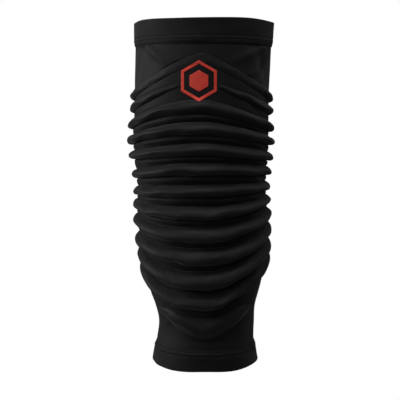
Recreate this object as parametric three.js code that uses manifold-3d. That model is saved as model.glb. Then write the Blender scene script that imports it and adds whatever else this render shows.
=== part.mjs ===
// A goalkeeper's padded knee sleeve, in the shape that the leg gives it.
// Millimetres. X is the viewer's right, the front faces -Y and Z is up.
// The origin is the middle of the knee, halfway up the sleeve.
// A place on the sleeve is its up, a share of the height from the calf end, and its turn, in
// degrees from the front, with the viewer's right positive.
import * as THREE from "three";
import { mergeVertices } from "three/addons/utils/BufferGeometryUtils.js";
import Module from "manifold-3d";

// Sizes over the outside of the knit tube
const sleeveHeight = 338; // between the middles of the two open ends
const knitWall = 1.6;
const thighWidth = 136.4;
const thighDepth = 146;
const kneeWidth = 128;
const kneeDepth = 129;
const shinWidth = 95.6;
const shinDepth = 106;
const calfWidth = 102.6;
const calfDepth = 108;

// The bend of the knee
const kneeForward = 3; // how far the knee stands in front of the axis
const kneeAside = 3; // and to the viewer's left of it
const thighBack = 7; // how far the thigh end stands behind the axis
const calfBack = 7; // and the calf end
const thighTilt = 2.7; // degrees that the thigh end rises to the front
const calfTilt = -7; // degrees that the calf end drops to the front

// The padded ribs
const padThickness = 7.5;
const padEdge = 1; // thickness of a rib along its seams and at its tips
const ribReach = 120; // degrees from the front to a rib's tip, at most
const ribCrown = 0.2; // how softly a rib turns over at the front
const tipFade = 30; // degrees over which a tip thins out
const tipTall = 0.5; // share of its height that a rib keeps at its tip

// The cuffs, bands of doubled knit that take the tube's ends between their layers
const topCuffHeight = 24;
const bottomCuffHeight = 20;
const cuffProud = 1.7; // how far a band stands outside the tube
const cuffLap = 6; // how far the tube goes into a band
const cuffRound = 0.9; // the softened corners of the folded edge

// The printed emblem, a hexagon line round a solid hexagon, each with a corner up
const emblemSize = 40; // across the corners
const emblemLine = 3;
const emblemCore = 21; // across the corners of the solid one
const emblemThickness = 0.6;
const emblemBelow = 59.5; // from the thigh end down the sleeve to the emblem's middle
const emblemAside = 5; // from the axis to the viewer's left
const printBridge = 3; // how far the print bridges the step at a rib's edge

// Clearance between a piece and what it is sewn to or printed on
const seat = 0.6;

// How finely the surfaces are cut
const aroundSteps = 40;
const outsideRows = 36;
const insideRows = 8;
const padSteps = 5;
const emblemSteps = 12;

// Rows of a table as objects with the columns' names
function table(columns, rows) {
  return rows.map((row) => Object.fromEntries(columns.map((column, i) => [column, row[i]])));
}

// The girth from the calf end up. Forward is in front of the axis, aside to the viewer's left.
const girths = table(["up", "width", "depth", "forward", "aside"], [
  [0, calfWidth, calfDepth, -calfBack, -0.45 * kneeAside],
  [0.055, 0.95 * calfWidth, 0.98 * calfDepth, -0.83 * calfBack, -0.45 * kneeAside],
  [0.115, shinWidth, shinDepth, -0.67 * calfBack, -0.8 * kneeAside],
  [0.165, 1.045 * shinWidth, 1.04 * shinDepth, -0.53 * calfBack, -0.45 * kneeAside],
  [0.21, 0.85 * kneeWidth, 0.87 * kneeDepth, -0.37 * calfBack, -0.2 * kneeAside],
  [0.26, 0.908 * kneeWidth, 0.93 * kneeDepth, -0.2 * calfBack, -0.2 * kneeAside],
  [0.33, 0.962 * kneeWidth, 0.975 * kneeDepth, 0, 0.1 * kneeAside],
  [0.43, kneeWidth, kneeDepth, 0.8 * kneeForward, 0.6 * kneeAside],
  [0.53, 0.99 * kneeWidth, 1.01 * kneeDepth, kneeForward, 0.8 * kneeAside],
  [0.62, 1.035 * kneeWidth, 1.04 * kneeDepth, kneeForward, kneeAside],
  [0.8, 0.982 * thighWidth, 0.966 * thighDepth, -0.15 * thighBack, 0.7 * kneeAside],
  [1, thighWidth, thighDepth, -thighBack, -0.1 * kneeAside],
]);

// Soft dents of the stretched knit. Wide is in degrees, tall is a share of the height, slant is
// the degrees that a dent moves to the right from its foot to its top, and deep is a share of
// the knit's wall.
const dents = table(["up", "turn", "wide", "tall", "slant", "deep"], [
  [0.885, -66, 14, 0.045, -22, 0.7],
  [0.88, 60, 14, 0.045, 28, 0.8],
]);

// The ribs from the top down. Front, left and right are the up of a rib's middle at the front
// and at its tips, and leftBow and rightBow are how soon it leaves its front height. Tall and
// sideTall are shares of the height. Thick and sideThick are shares of the padding's thickness,
// and reach is a share of the ribs' reach. A rib with a start dies out that many degrees from the
// emblem's middle, and so it is two pieces.
const ribColumns = [
  "front", "left", "right", "leftBow", "rightBow", "tall", "sideTall", "thick", "sideThick", "reach", "start",
];
const ribs = table(ribColumns, [
  [0.888, 0.775, 0.771, 0.9, 0.76, 0.027, 0.024, 0.1, 0.7, 1, 0],
  [0.822, 0.739, 0.734, 1.1, 0.8, 0.024, 0.024, 0.35, 0.7, 1, 17],
  [0.753, 0.692, 0.686, 1.4, 0.9, 0.038, 0.024, 0.85, 0.7, 1, 0],
  [0.6915, 0.649, 0.648, 1.45, 1, 0.037, 0.025, 1, 0.75, 1, 0],
  [0.632, 0.6095, 0.605, 1, 1, 0.036, 0.025, 1, 0.65, 1, 0],
  [0.576, 0.552, 0.564, 1.5, 1.4, 0.036, 0.025, 1, 0.45, 1, 0],
  [0.5135, 0.507, 0.5225, 1, 1, 0.036, 0.024, 1, 0.35, 1, 0],
  [0.4495, 0.477, 0.487, 2.5, 1.25, 0.04, 0.022, 1, 0.35, 1, 0],
  [0.388, 0.435, 0.452, 2, 1.4, 0.046, 0.022, 1, 0.35, 1, 0],
  [0.326, 0.38, 0.414, 1.65, 1.55, 0.049, 0.022, 1.05, 0.35, 1, 0],
  [0.26, 0.343, 0.37, 1.8, 1.27, 0.049, 0.022, 1.1, 0.35, 1, 0],
  [0.2, 0.303, 0.334, 1.95, 1.25, 0.047, 0.022, 1.15, 0.35, 1, 0],
  [0.121, 0.16, 0.17, 1.7, 1.5, 0.062, 0.045, 0.6, 0.3, 0.55, 0],
]);

const { degToRad, radToDeg, lerp, smoothstep } = THREE.MathUtils;

const girthCurve = new THREE.CubicInterpolant(
  girths.map((row) => row.up),
  girths.flatMap((row) => [row.width, row.depth, row.forward, row.aside]),
  4,
);

// The emblem's middle on the sleeve
const emblemUp = 1 - emblemBelow / sleeveHeight;
const [emblemGirth, , , girthAside] = girthCurve.evaluate(emblemUp);
const emblemTurn = radToDeg(Math.asin((2 * (girthAside - emblemAside)) / emblemGirth));

// Evenly spaced values from first to last, both of them included
function spaced(first, last, steps) {
  return Array.from({ length: steps + 1 }, (_, i) => lerp(first, last, i / steps));
}

// A point of the smooth ovals that the leg would give the tube's outside
function ovalPoint(up, turn) {
  const [width, depth, forward, aside] = girthCurve.evaluate(up);
  const fromMiddle = 2 * up - 1;
  const tilt = degToRad((fromMiddle < 0 ? calfTilt : thighTilt) * fromMiddle ** 2);
  const toFront = (depth / 2) * Math.cos(degToRad(turn));
  return new THREE.Vector3(
    -aside + (width / 2) * Math.sin(degToRad(turn)),
    -forward - toFront * Math.cos(tilt),
    (up - 0.5) * sleeveHeight + toFront * Math.sin(tilt),
  );
}

// The direction that faces out of the ovals
function outward(up, turn) {
  const turnStep = 0.1;
  const upStep = 0.0005;
  const across = ovalPoint(up, turn + turnStep).sub(ovalPoint(up, turn - turnStep));
  const along = ovalPoint(up + upStep, turn).sub(ovalPoint(up - upStep, turn));
  return across.cross(along).normalize();
}

// How far the dents push the knit in
function dentAt(up, turn) {
  return dents.reduce((sum, dent) => {
    const rise = (up - dent.up) / dent.tall;
    const aside = (turn - dent.turn - (dent.slant * rise) / 2) / dent.wide;
    return sum + dent.deep * knitWall * Math.exp(-(rise ** 2) - aside ** 2);
  }, 0);
}

// A point that stands a distance off the tube's outside
function skinPoint(up, turn, off) {
  const away = off - dentAt(up, turn);
  return ovalPoint(up, turn).addScaledVector(outward(up, turn), away);
}

// A solid through closed sections of equally many points, from the viewer's left to the right.
// Each section runs up the outside and down the inside, and a whole ring has no end faces.
function loft(sections, wholeRing) {
  const count = sections[0].length;
  const triangles = [];
  const spans = wholeRing ? sections.length : sections.length - 1;
  for (let span = 0; span < spans; span++) {
    const here = span * count;
    const next = ((span + 1) % sections.length) * count;
    for (let i = 0; i < count; i++) {
      const above = (i + 1) % count;
      triangles.push(here + i, next + i, next + above);
      triangles.push(here + i, next + above, here + above);
    }
  }
  if (!wholeRing) {
    const last = (sections.length - 1) * count;
    for (let i = 1; i < count - 1; i++) {
      triangles.push(0, i, i + 1);
      triangles.push(last, last + i + 1, last + i);
    }
  }
  const geometry = new THREE.BufferGeometry();
  const numbers = sections.flat().flatMap((point) => point.toArray());
  geometry.setAttribute("position", new THREE.Float32BufferAttribute(numbers, 3));
  geometry.setIndex(triangles);
  return geometry;
}

// The turns at which the tube and the cuffs have their sections
const ringTurns = spaced(-180, 180, aroundSteps).slice(0, -1);

// The knit tube. Each end stops just short of the step inside its cuff.
function tubeGeometry() {
  const low = (bottomCuffHeight - cuffLap + seat) / sleeveHeight;
  const high = 1 - (topCuffHeight - cuffLap + seat) / sleeveHeight;
  const sections = ringTurns.map((turn) => [
    ...spaced(low, high, outsideRows).map((up) => skinPoint(up, turn, 0)),
    ...spaced(high, low, insideRows).map((up) => skinPoint(up, turn, -knitWall)),
  ]);
  return loft(sections, true);
}

// A cuff at the open end whose up is given. Its profile goes from the sewn edge along the
// outside to the folded edge and back along the inside, to the step where the tube ends.
function cuffGeometry(endUp, height) {
  const inward = endUp === 1 ? -1 : 1;
  const step = height - cuffLap;
  const profile = [
    { along: height, off: cuffProud },
    { along: height / 2, off: cuffProud },
    { along: cuffRound, off: cuffProud },
    { along: 0, off: cuffProud - cuffRound },
    { along: 0, off: cuffRound - knitWall },
    { along: cuffRound, off: -knitWall },
    { along: step, off: -knitWall },
    { along: step, off: seat },
    { along: height, off: seat },
  ];
  if (inward > 0) profile.reverse();
  const sections = ringTurns.map((turn) =>
    profile.map(({ along, off }) => skinPoint(endUp + (inward * along) / sleeveHeight, turn, off)),
  );
  return loft(sections, true);
}

// A share that leaves 0 gently
function softly(share) {
  return Math.hypot(share, ribCrown) - ribCrown;
}

// Where a rib's middle is at a turn, and how tall and thick it is there. The fade is 0 at a tip
// and 1 where the rib is full.
function ribAt(rib, turn) {
  const reach = rib.reach * ribReach;
  const reached = Math.min(Math.abs(turn), reach);
  const swing = softly(Math.sin((degToRad(reached) * 90) / reach)) / softly(1);
  const [tip, bow] = turn < 0 ? [rib.left, rib.leftBow] : [rib.right, rib.rightBow];
  const fromStart = rib.start ? Math.abs(turn - emblemTurn) - rib.start : reach;
  const fade = smoothstep(Math.min(reach - reached, fromStart), 0, tipFade);
  return {
    up: lerp(rib.front, tip, swing ** bow),
    tall: lerp(rib.tall, rib.sideTall, swing) * lerp(tipTall, 1, fade),
    thick: lerp(padEdge, padThickness * lerp(rib.thick, rib.sideThick, swing ** 4), fade),
  };
}

// How far a rib's outside is off the tube, at a place across it from -1 to 1
function ribOff(thick, across) {
  return seat + padEdge + (thick - padEdge) * Math.sqrt(Math.max(0, 1 - across ** 2));
}

// The stretch of a rib from one turn to another. It has a section at each turn where the tube
// has one, so that the two lie evenly on each other.
function ribGeometry(rib, fromTurn, toTurn) {
  const shortest = 0.3 * (360 / aroundSteps); // no section comes closer than this to a tip
  const turns = ringTurns.filter((turn) => turn > fromTurn + shortest && turn < toTurn - shortest);
  const acrosses = spaced(0, Math.PI, padSteps).map((angle) => -Math.cos(angle));
  const sections = [fromTurn, ...turns, toTurn].map((turn) => {
    const { up, tall, thick } = ribAt(rib, turn);
    return [
      ...acrosses.map((across) => skinPoint(up + (across * tall) / 2, turn, ribOff(thick, across))),
      skinPoint(up + tall / 2, turn, seat),
      skinPoint(up - tall / 2, turn, seat),
    ];
  });
  return loft(sections, false);
}

// How far the knit's face is off the tube where a print lies on it: on a rib or on the tube.
// A rib counts as taller here by what the print bridges.
function faceOff(up, turn) {
  const bridge = printBridge / sleeveHeight;
  const heights = ribs.map((rib) => {
    const { up: middle, tall, thick } = ribAt(rib, turn);
    const across = Math.abs(up - middle) / (tall / 2 + bridge);
    const hidden = across > 1 || Math.abs(turn - emblemTurn) < rib.start;
    return hidden ? 0 : ribOff(thick, across);
  });
  return Math.max(...heights);
}

// A sheet of print that follows the knit, somewhat larger than the emblem
function printSheet() {
  const spare = 1.15; // the sheet's size over the emblem's
  const halfTurn = radToDeg(Math.asin((spare * emblemSize) / emblemGirth));
  const halfUp = (spare * emblemSize) / 2 / sleeveHeight;
  const ups = spaced(emblemUp - halfUp, emblemUp + halfUp, emblemSteps);
  const turns = spaced(emblemTurn - halfTurn, emblemTurn + halfTurn, emblemSteps);
  const sections = turns.map((turn) => {
    const back = ups.map((up) => skinPoint(up, turn, faceOff(up, turn) + seat));
    const front = ups.map((up) => skinPoint(up, turn, faceOff(up, turn) + seat + emblemThickness));
    return [...front, ...back.reverse()];
  });
  return loft(sections, false);
}

// A hexagon with a corner up, pushed through the front of the sleeve
function hexagonGeometry(acrossCorners) {
  const radius = acrossCorners / 2;
  const corners = spaced(0, 2 * Math.PI, 6).slice(0, -1);
  const shape = new THREE.Shape(
    corners.map((angle) => new THREE.Vector2(-radius * Math.sin(angle), radius * Math.cos(angle))),
  );
  const geometry = new THREE.ExtrudeGeometry(shape, { depth: thighDepth, bevelEnabled: false });
  geometry.rotateX(Math.PI / 2);
  const middle = ovalPoint(emblemUp, emblemTurn);
  return geometry.translate(middle.x, 0, middle.z);
}

const wasm = await Module();
wasm.setup();

function toSolid(geometry) {
  const bare = geometry.clone();
  bare.deleteAttribute("normal");
  bare.deleteAttribute("uv");
  const merged = mergeVertices(bare);
  const mesh = new wasm.Mesh({
    numProp: 3,
    vertProperties: merged.attributes.position.array,
    triVerts: Uint32Array.from(merged.index.array),
  });
  return new wasm.Manifold(mesh);
}

function toGeometry(solid) {
  const mesh = solid.getMesh();
  const geometry = new THREE.BufferGeometry();
  geometry.setAttribute("position", new THREE.BufferAttribute(mesh.vertProperties, mesh.numProp));
  geometry.setIndex(Array.from(mesh.triVerts));
  return geometry;
}

const tubeKnit = new THREE.MeshStandardMaterial({ color: 0x17171a, roughness: 0.75, metalness: 0 });
const ribKnit = new THREE.MeshStandardMaterial({ color: 0x1b1b1e, roughness: 0.7, metalness: 0 });
const cuffKnit = new THREE.MeshStandardMaterial({ color: 0x141416, roughness: 0.8, metalness: 0 });
const print = new THREE.MeshStandardMaterial({ color: 0xd8391f, roughness: 0.55, metalness: 0 });

const sleeve = new THREE.Group();

function addPiece(name, geometry, material) {
  const piece = new THREE.Mesh(geometry, material);
  piece.name = name;
  sleeve.add(piece);
}

addPiece("sleeve_tube", tubeGeometry(), tubeKnit);
addPiece("top_cuff", cuffGeometry(1, topCuffHeight), cuffKnit);
addPiece("bottom_cuff", cuffGeometry(0, bottomCuffHeight), cuffKnit);

ribs.forEach((rib, i) => {
  const name = `rib_pad_${String(i + 1).padStart(2, "0")}`;
  const reach = rib.reach * ribReach;
  if (rib.start) {
    addPiece(`${name}_left`, ribGeometry(rib, -reach, emblemTurn - rib.start), ribKnit);
    addPiece(`${name}_right`, ribGeometry(rib, emblemTurn + rib.start, reach), ribKnit);
  } else {
    addPiece(name, ribGeometry(rib, -reach, reach), ribKnit);
  }
});

const sheet = toSolid(printSheet());
const lineInside = emblemSize - (2 * emblemLine) / Math.cos(Math.PI / 6);
const hexagonLine = toSolid(hexagonGeometry(emblemSize)).subtract(toSolid(hexagonGeometry(lineInside)));
addPiece("emblem_line", toGeometry(sheet.intersect(hexagonLine)), print);
addPiece("emblem_core", toGeometry(sheet.intersect(toSolid(hexagonGeometry(emblemCore)))), print);

export default sleeve;
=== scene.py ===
import math

import bpy
import numpy as np
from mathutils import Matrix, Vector
from mathutils.bvhtree import BVHTree


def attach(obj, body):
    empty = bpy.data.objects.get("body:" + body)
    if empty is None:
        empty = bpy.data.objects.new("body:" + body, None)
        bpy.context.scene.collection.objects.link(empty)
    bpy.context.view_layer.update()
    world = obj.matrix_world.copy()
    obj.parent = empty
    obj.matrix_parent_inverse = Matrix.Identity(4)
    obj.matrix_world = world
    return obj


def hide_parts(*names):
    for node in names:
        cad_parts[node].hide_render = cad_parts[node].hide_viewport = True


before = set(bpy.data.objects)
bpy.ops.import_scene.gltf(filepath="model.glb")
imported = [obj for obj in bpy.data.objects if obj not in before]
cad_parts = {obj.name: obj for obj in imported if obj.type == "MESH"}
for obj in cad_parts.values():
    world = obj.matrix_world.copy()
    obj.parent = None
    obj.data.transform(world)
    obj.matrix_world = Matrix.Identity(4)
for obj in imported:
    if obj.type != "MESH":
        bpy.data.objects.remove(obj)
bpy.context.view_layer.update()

mm = 0.001

# Where the photograph was taken from. The axis of the sleeve stands a little right of the middle.
view = dict(
    distance=2.0,
    height=106 * mm,
    aside=-4 * mm,
    aimBelow=114 * mm,  # how far below the camera's height it aims, at the sleeve
    lens=180,
    sensor=36,
)


def makeCamera():
    data = bpy.data.cameras.new("camera")
    data.lens = view["lens"]
    data.sensor_width = view["sensor"]
    data.clip_start = 0.1
    data.clip_end = 50
    camera = bpy.data.objects.new("camera", data)
    camera.location = (view["aside"], -view["distance"], view["height"])
    camera.rotation_euler = (math.pi / 2 - math.atan(view["aimBelow"] / view["distance"]), 0, 0)
    bpy.context.scene.collection.objects.link(camera)
    bpy.context.scene.camera = camera


makeCamera()
print("camera set")


# sRGB hex to the linear colour that a shader takes
def hexColour(code):
    parts = [int(code[i : i + 2], 16) / 255 for i in (1, 3, 5)]
    linear = [p / 12.92 if p <= 0.04045 else ((p + 0.055) / 1.055) ** 2.4 for p in parts]
    return (*linear, 1)


# The form of the leg. A place on the sleeve is its up, a share of the height from the calf end,
# and its turn, in degrees from the front with the viewer's right positive.
leg = dict(
    height=338 * mm,
    wall=1.6 * mm,
    kneeForward=3 * mm,  # how far the leg's middle bows to the front at the knee
    kneeAside=3 * mm,  # and to the viewer's left
    thighBack=7 * mm,  # how far back each end lies
    calfBack=7 * mm,
    thighTilt=2.7,  # degrees that the front of the rim stands up, or hangs down below 0
    calfTilt=-7,
)
thighWide, thighDeep = 136.4 * mm, 146 * mm
kneeWide, kneeDeep = 128 * mm, 129 * mm
shinWide, shinDeep = 95.6 * mm, 106 * mm
calfWide, calfDeep = 102.6 * mm, 108 * mm
forward, aside = leg["kneeForward"], leg["kneeAside"]
thighBack, calfBack = leg["thighBack"], leg["calfBack"]

# up, width, depth, forward of the axis, aside to the viewer's left
girths = np.array([
    (0, calfWide, calfDeep, -calfBack, -0.45 * aside),
    (0.055, 0.95 * calfWide, 0.98 * calfDeep, -0.83 * calfBack, -0.45 * aside),
    (0.115, shinWide, shinDeep, -0.67 * calfBack, -0.8 * aside),
    (0.165, 1.045 * shinWide, 1.04 * shinDeep, -0.53 * calfBack, -0.45 * aside),
    (0.21, 0.85 * kneeWide, 0.87 * kneeDeep, -0.37 * calfBack, -0.2 * aside),
    (0.26, 0.908 * kneeWide, 0.93 * kneeDeep, -0.2 * calfBack, -0.2 * aside),
    (0.33, 0.962 * kneeWide, 0.975 * kneeDeep, 0, 0.1 * aside),
    (0.43, kneeWide, kneeDeep, 0.8 * forward, 0.6 * aside),
    (0.53, 0.99 * kneeWide, 1.01 * kneeDeep, forward, 0.8 * aside),
    (0.62, 1.035 * kneeWide, 1.04 * kneeDeep, forward, aside),
    (0.8, 0.982 * thighWide, 0.966 * thighDeep, -0.15 * thighBack, 0.7 * aside),
    (1, thighWide, thighDeep, -thighBack, -0.1 * aside),
])
girthUps = girths[:, 0]
girthSteps = np.diff(girths[:, 1:], axis=0) / np.diff(girthUps)[:, None]
girthSlopes = np.vstack([girthSteps[:1], (girthSteps[:-1] + girthSteps[1:]) / 2, girthSteps[-1:]])


# Width, depth, forward and aside at an up, on a smooth curve through the rows
def girthAt(up):
    up = np.clip(up, 0, 1)
    row = np.clip(np.searchsorted(girthUps, up, side="right") - 1, 0, len(girthUps) - 2)
    span = (girthUps[row + 1] - girthUps[row])[..., None]
    t = (up - girthUps[row])[..., None] / span
    here = girths[row, 1:] * (2 * t**3 - 3 * t**2 + 1) + girthSlopes[row] * span * (t**3 - 2 * t**2 + t)
    there = girths[row + 1, 1:] * (3 * t**2 - 2 * t**3) + girthSlopes[row + 1] * span * (t**3 - t**2)
    return here + there


# A point of the smooth ovals that the leg would give the outside of the knit
def ovalPoint(up, turn):
    wide, deep, front, left = np.moveaxis(girthAt(up), -1, 0)
    fromMiddle = 2 * up - 1
    tilt = np.radians(np.where(fromMiddle < 0, leg["calfTilt"], leg["thighTilt"]) * fromMiddle**2)
    toFront = deep / 2 * np.cos(np.radians(turn))
    x = -left + wide / 2 * np.sin(np.radians(turn))
    y = -front - toFront * np.cos(tilt)
    z = (up - 0.5) * leg["height"] + toFront * np.sin(tilt)
    return np.stack([x, y, z], axis=-1)


# Which way the ovals face, from places a little to each side of a point
nearTurn, nearUp = 0.1, 0.0005


def outward(up, turn):
    across = ovalPoint(up, turn + nearTurn) - ovalPoint(up, turn - nearTurn)
    along = ovalPoint(up + nearUp, turn) - ovalPoint(up - nearUp, turn)
    away = np.cross(across, along)
    return away / np.linalg.norm(away, axis=-1, keepdims=True)


# Points that stand a distance off the ovals. The three are numbers or arrays that fit together.
def skinPoint(up, turn, off):
    up, turn, off = np.broadcast_arrays(np.asarray(up, float), np.asarray(turn, float), off)
    return ovalPoint(up, turn) + outward(up, turn) * off[..., None]


def smoothstep(value, low, high):
    t = np.clip((value - low) / (high - low), 0, 1)
    return t * t * (3 - 2 * t)


def lerp(a, b, t):
    return a + (b - a) * t


# A metre along the knit for each degree of turn, about the middle of the sleeve
perDegree = math.radians(1) * kneeWide / 2


seeds = dict(ripple=11, bands=40, cuffWave=61, topRim=71, bottomRim=72, ribs=100)


# Smooth unevenness of about -1 to 1, a seeded sum of slanted waves, 0.7 to 1.5 times length long.
# Stretch above 1 makes the waves longer along than across.
def unevenness(seed, along, across, length, stretch=1, count=10):
    random = np.random.default_rng(seed)
    total = np.zeros(np.broadcast(along, across).shape)
    for _ in range(count):
        angle = random.uniform(0, math.tau)
        size = length * random.uniform(0.7, 1.5)
        phase = random.uniform(0, math.tau)
        slanted = along / stretch * math.cos(angle) + across * math.sin(angle)
        total = total + np.sin(slanted * math.tau / size + phase)
    return total / math.sqrt(count)


def makeMesh(name, points, faces):
    mesh = bpy.data.meshes.new(name)
    mesh.from_pydata(points.reshape(-1, 3).tolist(), [], faces)
    mesh.validate()
    mesh.polygons.foreach_set("use_smooth", [True] * len(mesh.polygons))
    mesh.update()
    piece = bpy.data.objects.new(name, mesh)
    bpy.context.scene.collection.objects.link(piece)
    return piece


# Faces of a grid of sections with count points each. Every section is a closed loop, and a
# whole ring of sections closes too. An open row of them ends in flat caps.
def loopFaces(sections, count, wholeRing):
    here = np.arange(sections if wholeRing else sections - 1)[:, None] * count
    there = (here + count) % (sections * count)
    i = np.arange(count)[None, :]
    above = (i + 1) % count
    quads = np.stack([here + i, there + i, there + above, here + above], axis=-1)
    faces = quads.reshape(-1, 4).tolist()
    if not wholeRing:
        faces.append(list(range(count)))
        faces.append([(sections - 1) * count + k for k in reversed(range(count))])
    return faces


def place(piece, material, replaces=None):
    piece.data.materials.append(material)
    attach(piece, "root")
    if replaces:
        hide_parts(replaces)
    return piece


# Materials


# Adds a node, sets what it is given by name, and links what it is given by socket
def addNode(tree, kind, settings=None, links=None):
    node = tree.nodes.new(kind)
    for name, value in (settings or {}).items():
        if name in node.inputs and not hasattr(node, name):
            node.inputs[name].default_value = value
        else:
            setattr(node, name, value)
    for socket, source in (links or {}).items():
        tree.links.new(source, node.inputs[socket])
    return node


def newMaterial(name):
    material = bpy.data.materials.new(name)
    material.use_nodes = True
    material.node_tree.nodes.clear()
    return material, material.node_tree


knit = dict(
    waleWide=1.3,  # mm. The real wales are 0.5 mm apart, too fine to show, so they are coarser here
    courseTall=1.1,  # mm. The real courses are 0.45 mm apart, and coarser here too
    drawnRound=64,  # mm, the radius on which the wales are counted
    rise=0.5,  # share of a wale or course over which it rises, before it falls again
    waleDeep=1.6,  # depth of the furrows between wales, as a share of that between courses
    loopDeep=0.18,  # mm
    fuzz=0.9,  # mm, the grain of the loose filaments
    fuzzShare=0.5,  # how much the fuzz changes the tone, as a share of what the mottle does
    mottle=22,  # mm between the paler and darker stretches of the knit
    darkAt=0.55,  # the tone at which the knit is darkest
    paleAt=0.95,
    furrowRough=0.08,  # what a furrow's roughness is over the material's
    crestRough=0.05,  # and a crest's under it
)


# The height of a plain knit: columns of slanted loops that run up the leg
def knitHeight(tree):
    coords = addNode(tree, "ShaderNodeTexCoord")
    split = addNode(tree, "ShaderNodeSeparateXYZ", links={0: coords.outputs["Object"]})
    around = addNode(tree, "ShaderNodeMath", {"operation": "ARCTAN2"},
                     {0: split.outputs["X"], 1: split.outputs["Y"]})
    wale = addNode(tree, "ShaderNodeMath", {"operation": "MULTIPLY"}, {0: around.outputs[0]})
    wale.inputs[1].default_value = round(math.tau * knit["drawnRound"] / knit["waleWide"]) / math.tau
    side = addNode(tree, "ShaderNodeMath", {"operation": "PINGPONG"}, {0: wale.outputs[0]})
    side.inputs[1].default_value = knit["rise"]
    course = addNode(tree, "ShaderNodeMath", {"operation": "MULTIPLY_ADD"},
                     {0: split.outputs["Z"], 2: side.outputs[0]})
    course.inputs[1].default_value = 1 / (knit["courseTall"] * mm)
    loop = addNode(tree, "ShaderNodeMath", {"operation": "PINGPONG"}, {0: course.outputs[0]})
    loop.inputs[1].default_value = knit["rise"]
    both = addNode(tree, "ShaderNodeMath", {"operation": "MULTIPLY_ADD"},
                   {0: side.outputs[0], 2: loop.outputs[0]})
    both.inputs[1].default_value = knit["waleDeep"]
    return both.outputs[0], coords.outputs["Object"]


# A polyamide and elastane knit. Its filaments give a soft sheen at the edges of each form, and
# the face is matt and a little uneven in tone where the knit is stretched more or less.
def knitMaterial(name, dark, pale, roughness, sheen, specular, bump):
    material, tree = newMaterial(name)
    height, coords = knitHeight(tree)
    blotch = addNode(tree, "ShaderNodeTexNoise", {"Scale": 1 / (knit["mottle"] * mm), "Detail": 3},
                     {"Vector": coords})
    fuzz = addNode(tree, "ShaderNodeTexNoise", {"Scale": 1 / (knit["fuzz"] * mm), "Detail": 2},
                   {"Vector": coords})
    tone = addNode(tree, "ShaderNodeMath", {"operation": "MULTIPLY_ADD"},
                   {0: fuzz.outputs[0], 2: blotch.outputs[0]})
    tone.inputs[1].default_value = knit["fuzzShare"]
    ramp = addNode(tree, "ShaderNodeValToRGB", links={0: tone.outputs[0]})
    ramp.color_ramp.elements[0].position = knit["darkAt"]
    ramp.color_ramp.elements[0].color = hexColour(dark)
    ramp.color_ramp.elements[1].position = knit["paleAt"]
    ramp.color_ramp.elements[1].color = hexColour(pale)
    rough = addNode(tree, "ShaderNodeMapRange",
                    {"From Min": 0, "From Max": knit["rise"] * (1 + knit["waleDeep"]),
                     "To Min": roughness + knit["furrowRough"], "To Max": roughness - knit["crestRough"]},
                    {0: height})
    relief = addNode(tree, "ShaderNodeMath", {"operation": "ADD"}, {0: height, 1: fuzz.outputs[0]})
    dents = addNode(tree, "ShaderNodeBump", {"Strength": bump, "Distance": knit["loopDeep"] * mm},
                    {"Height": relief.outputs[0]})
    shader = addNode(tree, "ShaderNodeBsdfPrincipled",
                     {"IOR": 1.5, "Specular IOR Level": specular, "Sheen Weight": sheen,
                      "Sheen Roughness": 0.45},
                     {"Base Color": ramp.outputs["Color"], "Roughness": rough.outputs[0],
                      "Normal": dents.outputs[0]})
    addNode(tree, "ShaderNodeOutputMaterial", links={"Surface": shader.outputs[0]})
    return material


sleeveKnit = knitMaterial("polyamideKnit", "#141416", "#1c1c1f", 0.6, 0.12, 0.22, 0.35)
ribKnit = knitMaterial("polyamideKnitOverFoam", "#151517", "#1e1e21", 0.56, 0.14, 0.25, 0.3)
cuffKnit = knitMaterial("doubledPolyamideKnit", "#121214", "#1a1a1c", 0.66, 0.1, 0.18, 0.45)


ply = dict(
    wave=1.2,  # mm, which draws the plies about 0.4 mm apart
    deep=0.05,  # mm
)


# A polyester sewing thread, wound of bright filaments, so a stitch catches more light than the knit
def threadMaterial():
    material, tree = newMaterial("polyesterThread")
    coords = addNode(tree, "ShaderNodeTexCoord")
    plies = addNode(tree, "ShaderNodeTexWave",
                    {"Scale": 1 / (ply["wave"] * mm), "Distortion": 1, "bands_direction": "DIAGONAL"},
                    {"Vector": coords.outputs["Object"]})
    tone = addNode(tree, "ShaderNodeValToRGB", links={0: plies.outputs["Fac"]})
    tone.color_ramp.elements[0].color = hexColour("#151517")
    tone.color_ramp.elements[1].color = hexColour("#26262a")
    twist = addNode(tree, "ShaderNodeBump", {"Strength": 0.4, "Distance": ply["deep"] * mm},
                    {"Height": plies.outputs["Fac"]})
    shader = addNode(tree, "ShaderNodeBsdfPrincipled", {"Roughness": 0.42, "IOR": 1.55, "Sheen Weight": 0.1},
                     {"Base Color": tone.outputs["Color"], "Normal": twist.outputs[0]})
    addNode(tree, "ShaderNodeOutputMaterial", links={"Surface": shader.outputs[0]})
    return material


film = dict(
    wear=6,  # mm between the fresher and the more worn places
    grainDeep=0.08,  # mm
)


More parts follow.
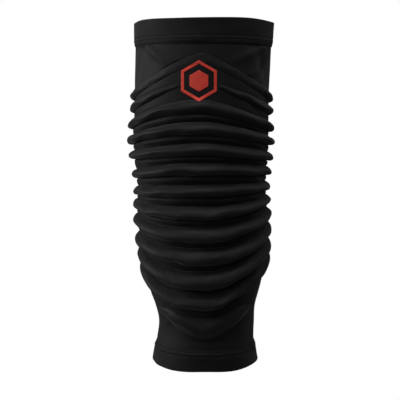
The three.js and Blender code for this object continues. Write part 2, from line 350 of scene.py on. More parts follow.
# A heat transfer print of polyurethane film: satin, and the knit shows through as a faint grain
def printMaterial():
    material, tree = newMaterial("polyurethanePrint")
    height, coords = knitHeight(tree)
    wear = addNode(tree, "ShaderNodeTexNoise", {"Scale": 1 / (film["wear"] * mm), "Detail": 4},
                   {"Vector": coords})
    tone = addNode(tree, "ShaderNodeValToRGB", links={0: wear.outputs[0]})
    tone.color_ramp.elements[0].position = 0.3
    tone.color_ramp.elements[0].color = hexColour("#f2473a")
    tone.color_ramp.elements[1].position = 0.7
    tone.color_ramp.elements[1].color = hexColour("#ff5646")
    rough = addNode(tree, "ShaderNodeMapRange", {"To Min": 0.42, "To Max": 0.6}, {0: wear.outputs[0]})
    grain = addNode(tree, "ShaderNodeBump", {"Strength": 0.25, "Distance": film["grainDeep"] * mm},
                    {"Height": height})
    shader = addNode(tree, "ShaderNodeBsdfPrincipled", {"IOR": 1.5, "Specular IOR Level": 0.35},
                     {"Base Color": tone.outputs["Color"], "Roughness": rough.outputs[0],
                      "Normal": grain.outputs[0]})
    addNode(tree, "ShaderNodeOutputMaterial", links={"Surface": shader.outputs[0]})
    return material


thread = threadMaterial()
redPrint = printMaterial()
print("materials made")

# The emblem's middle, which also parts the second rib
emblem = dict(
    corners=6,
    size=40 * mm,  # across the corners
    line=3 * mm,
    core=21 * mm,  # across the corners
    coreHole=0.05 * mm,  # radius of the pinhole at the core's middle
    thick=0.35 * mm,
    bevel=0.2 * mm,
    above=109.5 * mm,  # the sleeve's middle
    aside=5 * mm,  # to the viewer's left
    lift=0.22 * mm,  # clearance over the knit
    seenFrom=200 * mm,  # in front of the leg's axis, from where the knit behind it is looked for
    softened=4,  # passes that smooth the print along its rings
    steepest=0.8,  # slope at which the print bridges the foot of a rib
    aroundSteps=24,  # on each side of the hexagon
    lineSteps=6,
    coreSteps=12,
)
emblemUp = 0.5 + emblem["above"] / leg["height"]
emblemGirth = girthAt(np.array(emblemUp))
emblemTurn = math.degrees(math.asin((emblemGirth[3] - emblem["aside"]) * 2 / emblemGirth[0]))

# The padded ribs: foam rolls under the knit, from seam to seam
roll = dict(
    thick=7.5 * mm,
    edge=1 * mm,  # thickness at a tip
    crest=0.6 * mm,  # what the crest stands above the padding's thickness
    crestFrom=3 * mm,  # thickness from which the crest has all of that
    crown=0.2,  # how gently a rib leaves its front height
    tipFade=30,  # degrees over which it thins to its tip
    tipTall=0.5,  # share of its height that is left there
    endRound=3 * mm,  # length over which its very end is rounded
    endShare=0.02,  # share of that at which it ends
    endTall=0.45,  # share of its height towards which it narrows there
    upperSlope=0.65,  # 0.5 is an oval section, and more starts gently at the seam
    lowerSlope=0.5,
    lastSlope=1.5,  # the last rib runs out softly below
    lastSeam=0.25,  # and its seams draw the knit in less
    droop=0.14,  # how far the crest sags, as a share of the thickness
    droopLow=0.42,  # and for the lowest ribs
    droopFrom=0.25,  # the up of a rib to which that holds
    droopTo=0.5,  # and from which the other does
    seamDeep=0.2 * mm,  # how deep the seams draw the knit in
    seamWide=0.9 * mm,
    clear=0.3 * mm,  # between a roll and the knit under it
    lump=0.4 * mm,  # how uneven the foam is
    lumpLong=26 * mm,
    lumpStretch=1.4,
    wander=0.7 * mm,  # how far the crest wanders up and down
    wanderLong=30 * mm,
    pucker=0.22 * mm,  # small tucks beside the seams
    puckerLong=6.5 * mm,
    puckerStretch=0.8,
    puckerWide=0.3,  # how far they reach, as a share of the rib's half height
    puckerFront=0.45,  # share of them that is left at the front
    puckerFrom=30,  # degrees from the front at which they grow
    puckerTo=80,
    columns=1.08,  # for each degree
    fewest=40,  # columns
    facePoints=31,
    backPoints=5,
)

# front, left, right: the up of the middle, at the front and at the two tips; leftBow and rightBow:
# how soon it leaves its front height; tall and sideTall: shares of the height; thick and sideThick:
# shares of the padding; reach: degrees from the front to a tip; start: degrees from the emblem at
# which it begins, if it dies out there
ribColumns = ("front", "left", "right", "leftBow", "rightBow", "tall", "sideTall", "thick", "sideThick",
              "reach", "start")
ribs = [dict(zip(ribColumns, row)) for row in [
    (0.888, 0.775, 0.771, 0.9, 0.76, 0.027, 0.024, 0.1, 0.7, 120, 0),
    (0.822, 0.739, 0.734, 1.1, 0.8, 0.024, 0.024, 0.35, 0.7, 120, 17),
    (0.753, 0.692, 0.686, 1.4, 0.9, 0.038, 0.024, 0.85, 0.7, 120, 0),
    (0.6915, 0.649, 0.648, 1.45, 1, 0.037, 0.025, 1, 0.75, 120, 0),
    (0.632, 0.6095, 0.605, 1, 1, 0.036, 0.025, 1, 0.65, 120, 0),
    (0.576, 0.552, 0.564, 1.5, 1.4, 0.036, 0.025, 1, 0.45, 120, 0),
    (0.5135, 0.507, 0.5225, 1, 1, 0.036, 0.024, 1, 0.35, 120, 0),
    (0.4495, 0.477, 0.487, 2.5, 1.25, 0.04, 0.022, 1, 0.35, 120, 0),
    (0.388, 0.435, 0.452, 2, 1.4, 0.046, 0.022, 1, 0.35, 120, 0),
    (0.326, 0.38, 0.414, 1.65, 1.55, 0.049, 0.022, 1.05, 0.35, 120, 0),
    (0.26, 0.343, 0.37, 1.8, 1.27, 0.049, 0.022, 1.1, 0.35, 120, 0),
    (0.2, 0.303, 0.334, 1.95, 1.25, 0.047, 0.022, 1.15, 0.35, 120, 0),
    (0.121, 0.16, 0.17, 1.7, 1.5, 0.062, 0.045, 0.6, 0.3, 66, 0),
]]


def softly(share):
    return np.hypot(share, roll["crown"]) - roll["crown"]


# Where a rib's middle is at a turn, how tall and thick it is there, and how full, from 0 at a tip
def ribAt(rib, turn):
    turn = np.asarray(turn, float)
    reached = np.minimum(np.abs(turn), rib["reach"])
    swing = softly(np.sin(np.radians(reached * 90 / rib["reach"]))) / softly(1)
    tip = np.where(turn < 0, rib["left"], rib["right"])
    toTip = rib["reach"] - reached
    if rib["start"]:
        toTip = np.minimum(toTip, np.abs(turn - emblemTurn) - rib["start"])
    full = smoothstep(toTip, 0, roll["tipFade"])
    middle = lerp(rib["front"], tip, swing ** np.where(turn < 0, rib["leftBow"], rib["rightBow"]))
    tall = lerp(rib["tall"], rib["sideTall"], swing) * lerp(roll["tipTall"], 1, full)
    most = roll["thick"] * lerp(rib["thick"], rib["sideThick"], swing**4)
    return middle, tall, lerp(roll["edge"], most, full), full


# The last rib has softer edges than the others
def notLast(rib):
    return 0 if rib is ribs[-1] else 1


# How strongly a rib's seams draw the knit in
def seamOf(rib):
    return lerp(roll["lastSeam"], 1, notLast(rib))


# How the plain knit lies. Folds: up and turn of the middle, half length and half width in mm,
# slant in degrees from level, rising to the right, and height in mm, negative for a dent.
drape = dict(
    bandTall=4.4 * mm,  # how far the knit bulges out between two ribs, at most
    bandShare=0.6,  # and as a share of the space between them
    # for each such band from the top down, the share of that and how near it keeps to the upper rib
    bands=[(0.08, 0), (0.1, 0.2), (0.8, 0.4), (1, 0.4), (1, 0.4), (1, 0.4), (1, 0.4), (0.8, 0.5), (0.5, 0.5),
           (0.5, 0.5), (0.5, 0.5), (0.4, 0.5)],
    bandSide=0.35,  # share of the bulge that is left at the sides
    bandSideFrom=50,  # degrees from the front
    bandSideTo=72,
    bandUneven=0.14,
    bandLong=30 * mm,
    bandRound=0.7,  # 0.5 is an oval bulge, and more starts gently
    sideSeam=123,  # degrees from the front to the seams that join front and back
    sideSeamDeep=0.55 * mm,
    sideSeamWide=1.3 * mm,
    ripple=0.18 * mm,
    rippleLong=34 * mm,
    folds=[
        (0.885, -66, 30, 8, 62, -1.3),
        (0.88, 60, 30, 8, -58, -1.5),
        (0.905, -46, 19, 4.2, -38, 2.1),
        (0.885, -28, 18, 3.4, -26, 1.3),
        (0.907, 47, 24, 4.6, 22, 2.3),
        (0.868, 60, 18, 4, 40, -2),
        (0.845, 46, 15, 3.2, 28, 1.4),
        (0.086, 4, 30, 3, 0, -0.6),
        (0.16, -62, 12, 2.4, 35, 0.7),
        (0.135, -50, 12, 2.2, 28, 0.6),
        (0.18, 66, 14, 2.6, -32, 0.7),
        (0.15, 54, 12, 2.4, -24, 0.5),
        (0.5, 168, 30, 3, 6, 0.7),
        (0.47, 188, 28, 2.6, -8, 0.6),
        (0.53, 205, 24, 3, 10, 0.6),
        (0.44, 156, 24, 2.6, -10, 0.5),
        (0.39, 178, 34, 3, 3, 0.5),
        (0.57, 175, 32, 3, -4, 0.5),
    ],
)


def foldsAt(up, turn):
    total = np.zeros(np.broadcast(up, turn).shape)
    for foldUp, foldTurn, halfLong, halfWide, slant, tall in drape["folds"]:
        fromFold = ((turn - foldTurn + 180) % 360 - 180) * perDegree
        rise = (up - foldUp) * leg["height"]
        lean = math.radians(slant)
        along = (fromFold * math.cos(lean) + rise * math.sin(lean)) / (halfLong * mm)
        across = (rise * math.cos(lean) - fromFold * math.sin(lean)) / (halfWide * mm)
        total = total + tall * mm * np.exp(-(along**2) - across**2)
    return total


# How far the face of the plain knit is off the ovals
def knitOff(up, turn):
    up, turn = np.broadcast_arrays(up, turn)
    off = foldsAt(up, turn)
    along = turn * perDegree
    rise = up * leg["height"]
    off = off + drape["ripple"] * unevenness(seeds["ripple"], along, rise, drape["rippleLong"])
    drawn = np.zeros(up.shape)
    for rib in ribs:
        middle, tall, _, full = ribAt(rib, turn)
        past = np.maximum(0, np.abs(up - middle) - tall / 2) * leg["height"]
        drawn = np.maximum(drawn, full * seamOf(rib) * np.exp(-((past / roll["seamWide"]) ** 2)))
    off = off * (1 - drawn) - roll["seamDeep"] * drawn
    sideShare = smoothstep(np.abs(turn), drape["bandSideFrom"], drape["bandSideTo"])
    toSide = lerp(1, drape["bandSide"], sideShare)
    for i, (upper, lower, (share, skew)) in enumerate(zip(ribs[:-1], ribs[1:], drape["bands"])):
        upperMiddle, upperTall, _, upperFull = ribAt(upper, turn)
        lowerMiddle, lowerTall, _, lowerFull = ribAt(lower, turn)
        top = upperMiddle - upperTall / 2
        bottom = lowerMiddle + lowerTall / 2
        half = (top - bottom) / 2
        across = (up - (top + bottom) / 2) / half
        bulge = np.minimum(drape["bandTall"], drape["bandShare"] * 2 * half * leg["height"]) * share * toSide
        uneven = 1 + drape["bandUneven"] * unevenness(seeds["bands"] + i, along, rise, drape["bandLong"])
        oval = np.clip(1 - across**2, 0, 1) ** drape["bandRound"]
        crosswise = oval * (1 + skew * across) / (1 + skew / 2)
        off = off + np.where(np.abs(across) < 1, bulge * crosswise * upperFull * lowerFull * uneven, 0)
    for side in (-1, 1):
        fromSeam = (turn - side * drape["sideSeam"]) * perDegree
        off = off - drape["sideSeamDeep"] * np.exp(-((fromSeam / drape["sideSeamWide"]) ** 2))
    return off


# The cuffs, doubled bands whose twin stitch rows hold the folded knit
cuff = dict(
    topTall=24 * mm,
    bottomTall=20 * mm,
    lap=6 * mm,  # how far the tube goes into a band
    proud=1.7 * mm,  # height of the band's face over the ovals
    lip=0.75 * mm,  # height of the sewn edge over the ovals
    lipLong=3.5 * mm,  # over which the face comes down to it
    gap=0.35 * mm,  # between the tube's end and the band
    flatLong=3 * mm,  # over which the tube's folds flatten before the band
    foldRound=1.1 * mm,  # how far in the folded edge is rounded
    innerFrom=1 * mm,  # where the inside starts to follow the tube's own
    innerTo=9 * mm,  # and where it does all the way
    topRows=(17 * mm, 20.5 * mm),  # the twin stitch rows, from the folded edge
    bottomRows=(14 * mm, 17.5 * mm),
    rowDeep=0.45 * mm,
    rowWide=0.8 * mm,
    rowSwell=0.15 * mm,  # how far the knit swells between the two rows
    wave=0.35 * mm,
    waveLong=38 * mm,
    waveAcross=1.5,  # how much shorter the waves are across the band
    rim=0.5 * mm,  # how uneven the folded edge is
    rimLong=70 * mm,
    rimDeep=8 * mm,  # how far in that reaches
    columns=260,
    faceRows=34,
    foldRows=9,
    insideRows=8,
    lipRows=5,
)
tubeLow = (cuff["bottomTall"] - cuff["lap"] + cuff["gap"]) / leg["height"]
tubeHigh = 1 - (cuff["topTall"] - cuff["lap"] + cuff["gap"]) / leg["height"]

shell = dict(
    columns=260,
    topRows=46,
    bottomRows=34,
    ribRows=4,
    channelRows=10,
    insideRows=36,
    foldsInside=0.8,  # share of the folds that shows on the inside
)


# Rows of the knit that follow the ribs' edges, for each turn
def shellRows(turns):
    edges = [np.full(turns.shape, tubeLow)]
    counts = [shell["bottomRows"]]
    for rib in reversed(ribs):
        middle, tall, _, _ = ribAt(rib, turns)
        edges += [middle - tall / 2, middle + tall / 2]
        counts += [shell["ribRows"], shell["channelRows"]]
    counts[-1] = shell["topRows"]
    edges.append(np.full(turns.shape, tubeHigh))
    rows = []
    for low, high, count in zip(edges[:-1], edges[1:], counts):
        rows += [lerp(low, high, i / count) for i in range(count)]
    return np.array(rows + [edges[-1]])


def makeShell():
    turns = np.linspace(-180, 180, shell["columns"], endpoint=False)
    ups = shellRows(turns)
    turnGrid = np.broadcast_to(turns, ups.shape)
    off = knitOff(ups, turnGrid)
    topTall, bottomTall, flat = cuff["topTall"], cuff["bottomTall"], cuff["flatLong"]
    underCuff = np.maximum(
        smoothstep(ups, 1 - (topTall + flat) / leg["height"], 1 - topTall / leg["height"]),
        smoothstep(-ups, -(bottomTall + flat) / leg["height"], -bottomTall / leg["height"]),
    )
    outside = skinPoint(ups, turnGrid, off * (1 - underCuff))
    insideUps = np.linspace(tubeHigh, tubeLow, shell["insideRows"])[:, None]
    insideGrid = np.broadcast_to(insideUps, (shell["insideRows"], len(turns)))
    softOff = shell["foldsInside"] * foldsAt(insideGrid, turns[None, :])
    inside = skinPoint(insideGrid, turns[None, :], softOff - leg["wall"])
    sections = np.concatenate([outside, inside]).transpose(1, 0, 2)
    faces = loopFaces(sections.shape[0], sections.shape[1], True)
    return makeMesh("knit_shell", sections, faces)


knitShell = place(makeShell(), sleeveKnit, "sleeve_tube")
print("knit shell made")


# One stretch of a rib, from one turn to another
def makeRib(name, rib, fromTurn, toTurn, seed):
    columns = max(roll["fewest"], round(roll["columns"] * (toTurn - fromTurn)))
    turns = np.linspace(fromTurn, toTurn, columns)[:, None]
    middle, tall, thick, full = ribAt(rib, turns)
    fromEnd = np.minimum(turns - fromTurn, toTurn - turns) * perDegree
    rounded = np.sqrt(1 - (1 - np.clip(fromEnd / roll["endRound"], roll["endShare"], 1)) ** 2)
    half = tall * leg["height"] / 2 * lerp(roll["endTall"], 1, rounded)
    base = roll["clear"] - roll["seamDeep"] * seamOf(rib) * full
    along = turns * perDegree
    angle = np.linspace(0, math.pi, roll["facePoints"])[None, :]
    across = -np.cos(angle)
    lowerSlope = lerp(roll["lastSlope"], roll["lowerSlope"], notLast(rib))
    rise = np.sin(angle) ** (2 * np.where(across > 0, roll["upperSlope"], lowerSlope))
    height = (thick + roll["crest"] * np.minimum(1, thick / roll["crestFrom"]) - base) * rounded
    lumps = unevenness(seed, along, across * half, roll["lumpLong"], roll["lumpStretch"])
    lumps = lumps * roll["lump"] * full
    nearSeam = np.exp(-(((1 - np.abs(across)) / roll["puckerWide"]) ** 2)) * np.sin(angle) ** 0.5
    toSide = smoothstep(np.abs(turns), roll["puckerFrom"], roll["puckerTo"])
    sideways = lerp(roll["puckerFront"], 1, toSide) * full
    tucks = np.where(
        across > 0,
        unevenness(seed + 1, along, across * half, roll["puckerLong"], roll["puckerStretch"]),
        unevenness(seed + 2, along, across * half, roll["puckerLong"], roll["puckerStretch"]),
    )
    off = base + (height + lumps) * rise + roll["pucker"] * tucks * nearSeam * sideways
    wander = roll["wander"] * unevenness(seed + 3, along, 0 * across, roll["wanderLong"]) * full
    upper = smoothstep(rib["front"], roll["droopFrom"], roll["droopTo"])
    droop = lerp(roll["droopLow"], roll["droop"], upper) * notLast(rib)
    up = middle + (across * half + (wander - droop * height) * rise) / leg["height"]
    face = skinPoint(up, np.broadcast_to(turns, up.shape), off)
    backAcross = np.linspace(1, -1, roll["backPoints"] + 2)[None, 1:-1]
    backUp = middle + backAcross * half / leg["height"]
    back = skinPoint(backUp, np.broadcast_to(turns, backUp.shape), base + 0 * backUp)
    sections = np.concatenate([face, back], axis=1)
    sections = sections + inflated(name, sections)
    piece = makeMesh(name, sections, loopFaces(sections.shape[0], sections.shape[1], False))
    return piece


# A cloth simulation blows each roll up a little with its seams held, and as its knit is a shade
# longer than its way, the crest wavers. It runs on every other point of the roll, and what it
# moves is spread over all of them.
simulation = dict(
    frames=12,
    pressure=4,
    spare=-0.004,  # cloth's shrinking, and below 0 it grows
    furthest=0.6 * mm,  # that a point may move
    held=2,  # points along each seam
    coarse=2,  # every second point is simulated
    quality=5,
    mass=0.15,  # kg for each point
    bending=0.1,
    softened=2,  # passes that smooth what it moves
    least=1e-9,  # metres, so that a still point divides by something
)


# A grid of values at every coarse-th place, spread over a finer grid of the given shape
def spreadOut(values, shape, coarse):
    for axis, size in enumerate(shape[:2]):
        places = np.minimum(np.arange(size) / coarse, values.shape[axis] - 1)
        low = np.minimum(places.astype(int), values.shape[axis] - 2)
        share = np.expand_dims(places - low, [i for i in range(3) if i != axis])
        values = lerp(np.take(values, low, axis), np.take(values, low + 1, axis), share)
    return values


# How far the simulation moves each point of a roll
def inflated(name, points):
    coarse = simulation["coarse"]
    rough = points[::coarse, ::coarse]
    sections, count = rough.shape[:2]
    piece = makeMesh(name + "_cloth", rough, loopFaces(sections, count, False))
    point = np.arange(count) * coarse
    reach = coarse * simulation["held"]
    onSeam = (point < reach) | (point >= roll["facePoints"] - reach)
    held = np.tile(onSeam, (sections, 1))
    held[[0, 1, -2, -1]] = True
    group = piece.vertex_groups.new(name="seams")
    group.add(np.flatnonzero(held).tolist(), 1, "REPLACE")
    cloth = piece.modifiers.new("inflated", "CLOTH")
    settings = cloth.settings
    settings.vertex_group_mass = "seams"
    settings.use_pressure = True
    settings.uniform_pressure_force = simulation["pressure"]
    settings.shrink_min = simulation["spare"]
    settings.quality = simulation["quality"]
    settings.mass = simulation["mass"]
    settings.bending_stiffness = simulation["bending"]
    settings.effector_weights.gravity = 0
    cloth.collision_settings.use_collision = False
    cloth.point_cache.frame_end = simulation["frames"]
    for number in range(1, simulation["frames"] + 1):
        bpy.context.scene.frame_set(number)
    shaped = piece.evaluated_get(bpy.context.evaluated_depsgraph_get()).data
    moved = np.empty(len(shaped.vertices) * 3)
    shaped.vertices.foreach_get("co", moved)
    moved = moved.reshape(rough.shape) - rough
    bpy.context.scene.frame_set(1)
    bpy.data.objects.remove(piece)
    far = np.linalg.norm(moved, axis=-1, keepdims=True)
    moved = moved * np.minimum(1, simulation["furthest"] / np.maximum(far, simulation["least"]))
    for _ in range(simulation["softened"]):
        moved[1:-1] = (moved[:-2] + 2 * moved[1:-1] + moved[2:]) / 4
    return spreadOut(moved, points.shape, coarse)


def makeRibs():
    made = {}
    for i, rib in enumerate(ribs, 1):
        reach = rib["reach"]
        stretches = {"": (-reach, reach)}
        if rib["start"]:
            stretches = {
                "_left": (-reach, emblemTurn - rib["start"]),
                "_right": (emblemTurn + rib["start"], reach),
            }
        for side, (fromTurn, toTurn) in stretches.items():
            number = f"{i:02}{side}"
            seed = seeds["ribs"] + 10 * i
            piece = makeRib(f"rib_roll_{number}", rib, fromTurn, toTurn, seed)
            made[number] = place(piece, ribKnit, f"rib_pad_{number}")
    return made


ribRolls = makeRibs()
print("ribs made")


# How far the face of a cuff is off the ovals, at a distance along from its folded edge
def cuffFace(along, tall, rows, turn):
    edge = smoothstep(along, tall - cuff["lipLong"], tall)
    off = lerp(cuff["proud"], cuff["lip"], edge)
    for row in rows:
        off = off - cuff["rowDeep"] * np.exp(-(((along - row) / cuff["rowWide"]) ** 2))
    between = (along - rows[0]) * (rows[1] - along) / ((rows[1] - rows[0]) / 2) ** 2
    off = off + cuff["rowSwell"] * np.clip(between, 0, 1)
    wave = unevenness(seeds["cuffWave"], turn * perDegree, along * cuff["waveAcross"], cuff["waveLong"])
    return off + cuff["wave"] * wave * (1 - edge)


# A section runs over the face from the sewn edge, round the fold, along the inside to the tube, and
# over the tube back to the sewn edge.
def makeCuff(name, endUp, tall, rows):
    inward = -1 if endUp == 1 else 1
    turns = np.linspace(-180, 180, cuff["columns"], endpoint=False)[:, None]
    faceAlong = np.linspace(tall, cuff["foldRound"], cuff["faceRows"])[None, :]
    faceOff = cuffFace(faceAlong, tall, rows, turns)
    thick = cuff["proud"] + leg["wall"]
    angle = np.linspace(0, math.pi, cuff["foldRows"])[None, 1:-1]
    foldAlong = cuff["foldRound"] * (1 - np.sin(angle)) + 0 * turns
    foldOff = faceOff[:, -1:] - thick * (1 - np.cos(angle)) / 2
    insideAlong = np.linspace(cuff["foldRound"], tall - cuff["lap"], cuff["insideRows"])[None, :] + 0 * turns
    toTube = smoothstep(insideAlong, cuff["innerFrom"], cuff["innerTo"])
    insideOff = lerp(faceOff[:, -1:] - thick, -leg["wall"], toTube)
    lipAlong = np.linspace(tall - cuff["lap"], tall, cuff["lipRows"])[None, :] + 0 * turns
    lipOff = cuff["gap"] + 0 * lipAlong
    along = np.concatenate([faceAlong + 0 * turns, foldAlong, insideAlong, lipAlong], axis=1)
    off = np.concatenate([faceOff, foldOff, insideOff, lipOff], axis=1)
    rimSeed = seeds["topRim"] if endUp else seeds["bottomRim"]
    rim = cuff["rim"] * unevenness(rimSeed, turns * perDegree, 0 * turns, cuff["rimLong"])
    along = along + rim * (1 - smoothstep(along, 0, cuff["rimDeep"]))
    if inward > 0:
        along = along[:, ::-1]
        off = off[:, ::-1]
    up = endUp + inward * along / leg["height"]
    sections = skinPoint(up, np.broadcast_to(turns, up.shape), off)
    return makeMesh(name, sections, loopFaces(sections.shape[0], sections.shape[1], True))


topBand = makeCuff("top_cuff_band", 1, cuff["topTall"], cuff["topRows"])
place(topBand, cuffKnit, "top_cuff")
bottomBand = makeCuff("bottom_cuff_band", 0, cuff["bottomTall"], cuff["bottomRows"])
place(bottomBand, cuffKnit, "bottom_cuff")
print("cuffs made")

stitch = dict(
    long=3 * mm,  # from one needle hole to the next
    shown=0.82,  # share of that which the thread covers
    thick=0.42 * mm,
    endThick=0.55,  # share of the thickness at its ends
    arch=0.28 * mm,
    clear=0.02 * mm,
    rings=5,
    sides=6,
)


# The points of a row of stitches. Starts and ends hold up and turn, a line for each stitch, and
# offAt gives the height of the knit there.
def stitchPoints(starts, ends, offAt):
    shares = np.linspace(0, 1, stitch["rings"])[None, :]
    up = lerp(starts[:, :1], ends[:, :1], shares)
    turn = lerp(starts[:, 1:], ends[:, 1:], shares)
    lift = stitch["arch"] * np.sin(math.pi * shares) + stitch["clear"]
    middle = skinPoint(up, turn, offAt(up, turn) + lift)
    away = outward(up, turn)
    ahead = middle[:, -1:] - middle[:, :1]
    ahead = ahead / np.linalg.norm(ahead, axis=-1, keepdims=True)
    side = np.cross(away, np.broadcast_to(ahead, away.shape))
    angle = np.arange(stitch["sides"]) * math.tau / stitch["sides"]
    radius = stitch["thick"] / 2 * lerp(stitch["endThick"], 1, np.sin(math.pi * shares))[..., None, None]
    ring = np.cos(angle)[:, None] * side[..., None, :] + np.sin(angle)[:, None] * away[..., None, :]
    return middle[..., None, :] + ring * radius


def makeStitches(name, rows):
    points = []
    faces = []
    for stitches in rows:
        for sections in stitches:
            first = len(points) * stitch["rings"] * stitch["sides"]
            points.append(sections)
            for face in loopFaces(stitch["rings"], stitch["sides"], False):
                faces.append([first + corner for corner in face])
    return makeMesh(name, np.array(points), faces)


def cuffStitchRows(endUp, tall, rows):
    inward = -1 if endUp == 1 else 1
    made = []
    for number, row in enumerate(rows):
        up = endUp + inward * row / leg["height"]
        wide, deep = girthAt(np.array(up))[:2]
        count = round(math.pi * (wide + deep) / 2 / stitch["long"])
        turns = (np.arange(count) + 0.5 * number) * 360 / count
        starts = np.stack([np.full(count, up), turns], axis=1)
        ends = starts + np.array([0, 360 / count * stitch["shown"]])
        made.append(stitchPoints(starts, ends, lambda u, t: cuffFace(
            np.abs(u - endUp) * leg["height"], tall, rows, (t + 180) % 360 - 180)))
    return made


topStitches = makeStitches("top_cuff_stitches", cuffStitchRows(1, cuff["topTall"], cuff["topRows"]))
place(topStitches, thread)
bottomStitches = makeStitches(
    "bottom_cuff_stitches", cuffStitchRows(0, cuff["bottomTall"], cuff["bottomRows"]))
place(bottomStitches, thread)


flatlock = dict(
    fromCuff=1 * mm,  # between a band and the first stitch
    apart=0.75,  # of a cuff's stitch
    halfWide=1.6 * mm,
    rise=0.9,  # how far a thread climbs, as a share of the way to the next
)


# The side seams are flatlocked: slanted threads cross the joint
def seamStitchRows(side):
    low = (cuff["bottomTall"] + flatlock["fromCuff"]) / leg["height"]
    high = 1 - (cuff["topTall"] + flatlock["fromCuff"]) / leg["height"]
    count = round((high - low) * leg["height"] / (flatlock["apart"] * stitch["long"]))
    ups = np.linspace(low, high, count)
    halfWide = flatlock["halfWide"] / perDegree
    made = []
    for lean in (-1, 1):
        starts = np.stack([ups, np.full(count, side * drape["sideSeam"] - lean * halfWide)], axis=1)
        ends = starts + np.array([(high - low) / count * flatlock["rise"], 2 * lean * halfWide])
        made.append(stitchPoints(starts, ends, knitOff))
    return made


for sideName, side in (("left", -1), ("right", 1)):
    place(makeStitches(f"side_seam_{sideName}", seamStitchRows(side)), thread)
print("stitches made")


# The faces of the pieces that the print lies on, so that they can be looked for from the front
def facingTree(pieces):
    points = []
    faces = []
    for piece in pieces:
        first = len(points)
        points += [v.co.copy() for v in piece.data.vertices]
        faces += [[first + i for i in p.vertices] for p in piece.data.polygons]
    return BVHTree.FromPolygons(points, faces)


# A hexagon, or a line round one, laid on the knit behind it. Where the knit falls away steeply, at
# the foot of a rib, the print bridges the step.
def makePrint(name, tree, inner, outer, steps):
    count = emblem["corners"] * emblem["aroundSteps"]
    share = np.arange(count) / emblem["aroundSteps"]
    whole = np.floor(share).astype(int)
    angles = np.arange(emblem["corners"] + 1) * math.tau / emblem["corners"]
    corner = np.stack([-np.sin(angles), np.cos(angles)], axis=1)
    outline = lerp(corner[whole], corner[whole + 1], (share - whole)[:, None])
    radii = np.linspace(inner, outer, steps + 1)[:, None, None]
    centre = ovalPoint(np.array(emblemUp), np.array(emblemTurn))
    flat = outline[None] * radii + centre[[0, 2]]
    ahead = Vector((0, 1, 0))
    depth = np.array([[tree.ray_cast(Vector((x, -emblem["seenFrom"], z)), ahead)[0].y for x, z in ring]
                      for ring in flat])
    apart = np.linalg.norm(flat.reshape(-1, 1, 2) - flat.reshape(1, -1, 2), axis=-1)
    bridged = (depth.reshape(1, -1) + emblem["steepest"] * apart).min(axis=1).reshape(depth.shape)
    smooth = bridged.copy()
    for _ in range(emblem["softened"]):
        smooth = (smooth + np.roll(smooth, 1, 1) + np.roll(smooth, -1, 1)) / 3
    y = np.minimum(bridged, smooth) - emblem["lift"]
    back = np.stack([flat[..., 0], y, flat[..., 1]], axis=-1)
    front = back.copy()
    front[..., 1] -= emblem["thick"]
    inset = min(1, emblem["bevel"] * steps / (outer - inner))
    front[0] = front[0] + (front[1] - front[0]) * inset
    front[-1] = front[-1] + (front[-2] - front[-1]) * inset
    sections = np.concatenate([back, front[::-1]]).transpose(1, 0, 2)
    faces = loopFaces(sections.shape[0], sections.shape[1], True)
    return makeMesh(name, sections, [face[::-1] for face in faces])


tree = facingTree([knitShell] + [ribRolls[n] for n in ("01", "02_left", "02_right", "03")])
lineInside = emblem["size"] / 2 - emblem["line"] / math.cos(math.pi / emblem["corners"])
linePrint = makePrint("emblem_line_print", tree, lineInside, emblem["size"] / 2, emblem["lineSteps"])
place(linePrint, redPrint, "emblem_line")
corePrint = makePrint("emblem_core_print", tree, emblem["coreHole"], emblem["core"] / 2, emblem["coreSteps"])
place(corePrint, redPrint, "emblem_core")
print("print made")

# A white studio with a soft light high in front and weaker ones to the left and at the two edges
studio = dict(
    fromAbove=0.1,  # what the ceiling gives the object; the background itself shows white
    fromBelow=0.03,
    wallsFrom=-0.6,  # the height of a direction at which the walls brighten, from -1 to 1
    wallsTo=0.4,
    floorDown=1.4,
    floorWide=0.8,
    floorTone=(0.86, 0.9),
    floorGrain=40,
    lights=[
        dict(name="key", at=(-0.05, -1.0, 1.85), size=0.7, power=12.5),
        dict(name="front", at=(-0.9, -1.9, 0.8), size=1.2, power=5),
        dict(name="leftEdge", at=(-1.7, 0.1, 0.4), size=0.8, power=11),
        dict(name="rightEdge", at=(1.4, 0, 1.4), size=0.6, power=2.6),
    ],
)


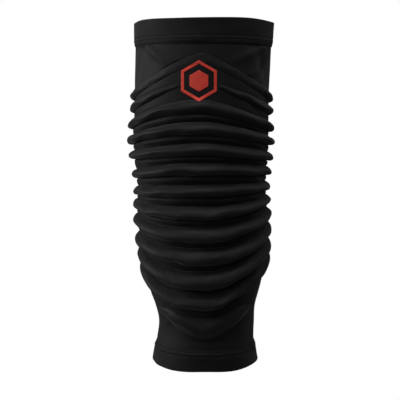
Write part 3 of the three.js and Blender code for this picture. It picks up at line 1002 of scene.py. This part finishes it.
def makeStudio():
    world = bpy.data.worlds.new("studio")
    bpy.context.scene.world = world
    world.use_nodes = True
    tree = world.node_tree
    tree.nodes.clear()
    path = addNode(tree, "ShaderNodeLightPath")
    direction = addNode(tree, "ShaderNodeTexCoord")
    split = addNode(tree, "ShaderNodeSeparateXYZ", links={0: direction.outputs["Generated"]})
    walls = addNode(tree, "ShaderNodeMapRange",
                    {"From Min": studio["wallsFrom"], "From Max": studio["wallsTo"],
                     "To Min": studio["fromBelow"], "To Max": studio["fromAbove"]},
                    {0: split.outputs["Z"]})
    strength = addNode(tree, "ShaderNodeMapRange", {"To Max": 1},
                       {0: path.outputs["Is Camera Ray"], "To Min": walls.outputs[0]})
    white = addNode(tree, "ShaderNodeBackground", {"Color": (1, 1, 1, 1)},
                    {"Strength": strength.outputs[0]})
    addNode(tree, "ShaderNodeOutputWorld", links={"Surface": white.outputs[0]})

    bpy.ops.mesh.primitive_circle_add(vertices=96, radius=studio["floorWide"], fill_type="NGON",
                                      location=(0, 0, -studio["floorDown"]))
    floor = bpy.context.object
    floor.name = "floor"
    paint, tree = newMaterial("paintedFloor")
    dark, pale = studio["floorTone"]
    grain = addNode(tree, "ShaderNodeTexNoise", {"Scale": studio["floorGrain"]})
    tone = addNode(tree, "ShaderNodeMapRange", {"To Min": dark, "To Max": pale}, {0: grain.outputs[0]})
    shader = addNode(tree, "ShaderNodeBsdfPrincipled", {"Roughness": 0.8}, {"Base Color": tone.outputs[0]})
    addNode(tree, "ShaderNodeOutputMaterial", links={"Surface": shader.outputs[0]})
    floor.data.materials.append(paint)

    for light in studio["lights"]:
        data = bpy.data.lights.new(light["name"], "AREA")
        data.size = light["size"]
        data.energy = light["power"]
        lamp = bpy.data.objects.new(light["name"], data)
        lamp.location = light["at"]
        lamp.rotation_euler = (-Vector(light["at"])).to_track_quat("-Z", "Y").to_euler()
        bpy.context.scene.collection.objects.link(lamp)
    bpy.context.scene.view_settings.view_transform = "Standard"


makeStudio()
print("studio made")
